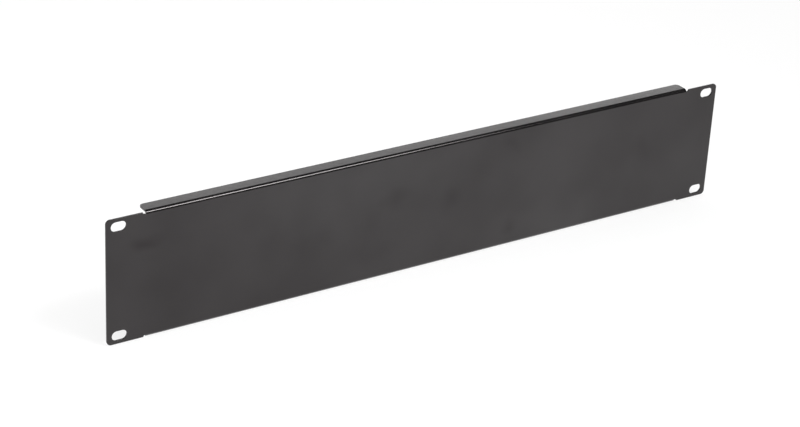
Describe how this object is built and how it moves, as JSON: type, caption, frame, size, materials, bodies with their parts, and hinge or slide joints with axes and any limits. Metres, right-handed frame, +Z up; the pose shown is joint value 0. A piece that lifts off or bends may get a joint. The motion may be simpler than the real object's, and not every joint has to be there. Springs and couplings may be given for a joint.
{
  "type": "rack blanking panel",
  "caption": "Flat steel panel with slotted ears and folded-back top and bottom flanges, screwed to the rails of an equipment rack to close off unused space.",
  "frame": {"origin": "centre of the slot pattern, on the rear face of the sheet, which seats against the rack rails", "axes": "+X along the panel's length, to the right seen from the front; +Y into the rack, so the front faces -Y; +Z up"},
  "size_m": [0.4826, 0.011, 0.0886],
  "materials": {
    "black_coat": "satin black powder coat"
  },
  "bodies": {
    "root": {"panel": "black_coat"}
  },
  "joints": []
}
